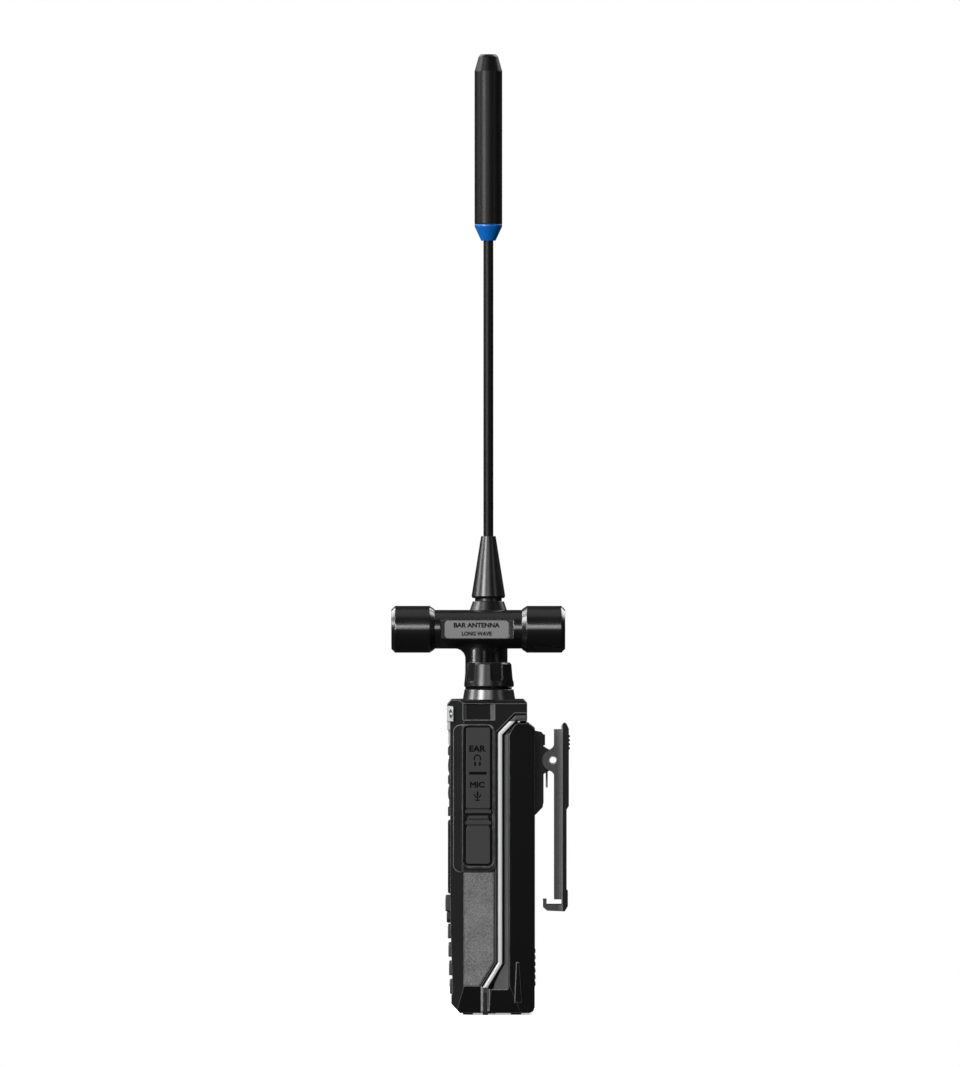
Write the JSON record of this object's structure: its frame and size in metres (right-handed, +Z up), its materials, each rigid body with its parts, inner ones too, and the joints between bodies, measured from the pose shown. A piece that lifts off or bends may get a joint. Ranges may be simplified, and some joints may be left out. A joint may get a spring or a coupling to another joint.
{
  "type": "police scanner",
  "caption": "Handheld scanning radio with a keypad face, side jack cover, sprung belt clip, volume knob, tall whip antenna and a crossways bar antenna.",
  "frame": {"origin": "middle of the standing base, on the underside of the chassis between the front shell and the battery", "axes": "+Z up towards the antennas, -Y out of the keypad face, +X out of the side with the jack cover"},
  "size_m": [0.062, 0.0713, 0.3839],
  "materials": {
    "case_black": "fine satin grain",
    "grip_grey": "coarse moulded grain",
    "cover_rubber": "matt moulded rubber",
    "chassis_metal": "satin cast alloy with a bright edge",
    "trim_silver": "bright silver paint",
    "grille_black": "satin",
    "bezel_black": "high gloss",
    "window_clear": "clear pane",
    "lcd_grey": "reflective display",
    "key_rubber": "satin rubber",
    "ptt_rubber": "ribbed rubber",
    "board_green": "solder mask",
    "plated_steel": "plated",
    "contact_brass": "gold plated",
    "jack_black": "satin",
    "cell_wrap": "shrink wrap",
    "knob_black": "satin",
    "clip_black": "fine grain",
    "antenna_black": "satin",
    "boot_rubber": "satin rubber",
    "rod_black": "black lacquer",
    "ring_blue": "gloss",
    "label_grey": "printed film",
    "ferrite": "sintered",
    "coil_copper": "enamelled wire"
  },
  "bodies": {
    "case": {"front_shell": "case_black", "chassis": "chassis_metal", "grip_panels": "grip_grey", "front_trim": "trim_silver", "speaker_grille": "grille_black", "grille_trim": "trim_silver", "speaker_driver": "plated_steel", "display_bezel": "bezel_black", "display_window": "window_clear", "lcd_module": "lcd_grey", "keypad_trim": "trim_silver", "keypad_board": "board_green", "main_board": "board_green", "shell_screws": "plated_steel", "accessory_jacks": "jack_black", "jack_cover_anchor": "cover_rubber", "microphone": "plated_steel", "knob_collar": "case_black", "volume_encoder": "plated_steel", "antenna_sockets": "contact_brass", "battery_terminals": "contact_brass"},
    "jack_cover": {"jack_cover_flap": "cover_rubber"},
    "volume": {"volume_knob": "knob_black", "encoder_shaft": "plated_steel"},
    "ptt": {"ptt_button": "ptt_rubber"},
    "battery": {"battery_case": "case_black", "battery_cover": "cell_wrap", "battery_cells": "cell_wrap", "battery_contacts": "contact_brass", "clip_base": "clip_black", "clip_pin": "plated_steel", "clip_spring": "plated_steel"},
    "latch": {"battery_latch": "case_black"},
    "clip": {"clip_lever": "clip_black"},
    "whip": {"whip_base": "antenna_black", "whip_boot": "boot_rubber", "whip_rod": "rod_black", "whip_ring": "ring_blue", "whip_top_load": "antenna_black"},
    "bar": {"bar_housing": "antenna_black", "bar_end_caps": "antenna_black", "bar_label_plate": "label_grey", "bar_ferrite": "ferrite", "bar_coil": "coil_copper"},
    "key_1_cap": {"key_1": "key_rubber"},
    "key_2_cap": {"key_2": "key_rubber"},
    "key_3_cap": {"key_3": "key_rubber"},
    "key_4_cap": {"key_4": "key_rubber"},
    "key_5_cap": {"key_5": "key_rubber"},
    "key_6_cap": {"key_6": "key_rubber"},
    "key_7_cap": {"key_7": "key_rubber"},
    "key_8_cap": {"key_8": "key_rubber"},
    "key_9_cap": {"key_9": "key_rubber"},
    "key_star_cap": {"key_star": "key_rubber"},
    "key_0_cap": {"key_0": "key_rubber"},
    "key_hash_cap": {"key_hash": "key_rubber"},
    "menu_key_cap": {"menu_key": "key_rubber"},
    "up_key_cap": {"up_key": "key_rubber"},
    "down_key_cap": {"down_key": "key_rubber"},
    "exit_key_cap": {"exit_key": "key_rubber"}
  },
  "joints": [
    {"name": "volume_turn", "type": "hinge", "parent": "case", "child": "volume", "pos_m": [0.0185, -0.0012, 0.135], "axis": [0, 0, -1], "range_deg": [0, 280]},
    {"name": "cover_fold", "type": "hinge", "parent": "case", "child": "jack_cover", "pos_m": [0.03075, -0.0055, 0.07995], "axis": [0, 1, 0], "range_deg": [0, 110], "stiffness_Nm_per_rad": 0.0005},
    {"name": "ptt_press", "type": "slide", "parent": "case", "child": "ptt", "axis": [1, 0, 0], "range_m": [0, 0.001], "stiffness_N_per_m": 600},
    {"name": "battery_release", "type": "slide", "parent": "case", "child": "battery", "axis": [0, 1, 0], "range_m": [0, 0.03]},
    {"name": "latch_press", "type": "slide", "parent": "battery", "child": "latch", "axis": [0, 0, -1], "range_m": [0, 0.0009], "stiffness_N_per_m": 500},
    {"name": "clip_squeeze", "type": "hinge", "parent": "battery", "child": "clip", "pos_m": [0, 0.0244, 0.1012], "axis": [1, 0, 0], "range_deg": [0, 15], "stiffness_Nm_per_rad": 0.15, "springref_deg": -17.19},
    {"name": "whip_turn", "type": "hinge", "parent": "case", "child": "whip", "pos_m": [-0.0195, -0.00144, 0.1305], "axis": [0, 0, 1], "continuous": true},
    {"name": "bar_swivel", "type": "hinge", "parent": "case", "child": "bar", "pos_m": [0, -0.0055, 0.1305], "axis": [0, 0, 1], "range_deg": [-20, 20]},
    {"name": "key_1_press", "type": "slide", "parent": "case", "child": "key_1_cap", "axis": [0, 1, 0], "range_m": [0, 0.0005], "stiffness_N_per_m": 400},
    {"name": "key_2_press", "type": "slide", "parent": "case", "child": "key_2_cap", "axis": [0, 1, 0], "range_m": [0, 0.0005], "stiffness_N_per_m": 400},
    {"name": "key_3_press", "type": "slide", "parent": "case", "child": "key_3_cap", "axis": [0, 1, 0], "range_m": [0, 0.0005], "stiffness_N_per_m": 400},
    {"name": "key_4_press", "type": "slide", "parent": "case", "child": "key_4_cap", "axis": [0, 1, 0], "range_m": [0, 0.0005], "stiffness_N_per_m": 400},
    {"name": "key_5_press", "type": "slide", "parent": "case", "child": "key_5_cap", "axis": [0, 1, 0], "range_m": [0, 0.0005], "stiffness_N_per_m": 400},
    {"name": "key_6_press", "type": "slide", "parent": "case", "child": "key_6_cap", "axis": [0, 1, 0], "range_m": [0, 0.0005], "stiffness_N_per_m": 400},
    {"name": "key_7_press", "type": "slide", "parent": "case", "child": "key_7_cap", "axis": [0, 1, 0], "range_m": [0, 0.0005], "stiffness_N_per_m": 400},
    {"name": "key_8_press", "type": "slide", "parent": "case", "child": "key_8_cap", "axis": [0, 1, 0], "range_m": [0, 0.0005], "stiffness_N_per_m": 400},
    {"name": "key_9_press", "type": "slide", "parent": "case", "child": "key_9_cap", "axis": [0, 1, 0], "range_m": [0, 0.0005], "stiffness_N_per_m": 400},
    {"name": "key_star_press", "type": "slide", "parent": "case", "child": "key_star_cap", "axis": [0, 1, 0], "range_m": [0, 0.0005], "stiffness_N_per_m": 400},
    {"name": "key_0_press", "type": "slide", "parent": "case", "child": "key_0_cap", "axis": [0, 1, 0], "range_m": [0, 0.0005], "stiffness_N_per_m": 400},
    {"name": "key_hash_press", "type": "slide", "parent": "case", "child": "key_hash_cap", "axis": [0, 1, 0], "range_m": [0, 0.0005], "stiffness_N_per_m": 400},
    {"name": "menu_key_press", "type": "slide", "parent": "case", "child": "menu_key_cap", "axis": [0, 1, 0], "range_m": [0, 0.0005], "stiffness_N_per_m": 400},
    {"name": "up_key_press", "type": "slide", "parent": "case", "child": "up_key_cap", "axis": [0, 1, 0], "range_m": [0, 0.0005], "stiffness_N_per_m": 400},
    {"name": "down_key_press", "type": "slide", "parent": "case", "child": "down_key_cap", "axis": [0, 1, 0], "range_m": [0, 0.0005], "stiffness_N_per_m": 400},
    {"name": "exit_key_press", "type": "slide", "parent": "case", "child": "exit_key_cap", "axis": [0, 1, 0], "range_m": [0, 0.0005], "stiffness_N_per_m": 400}
  ]
}
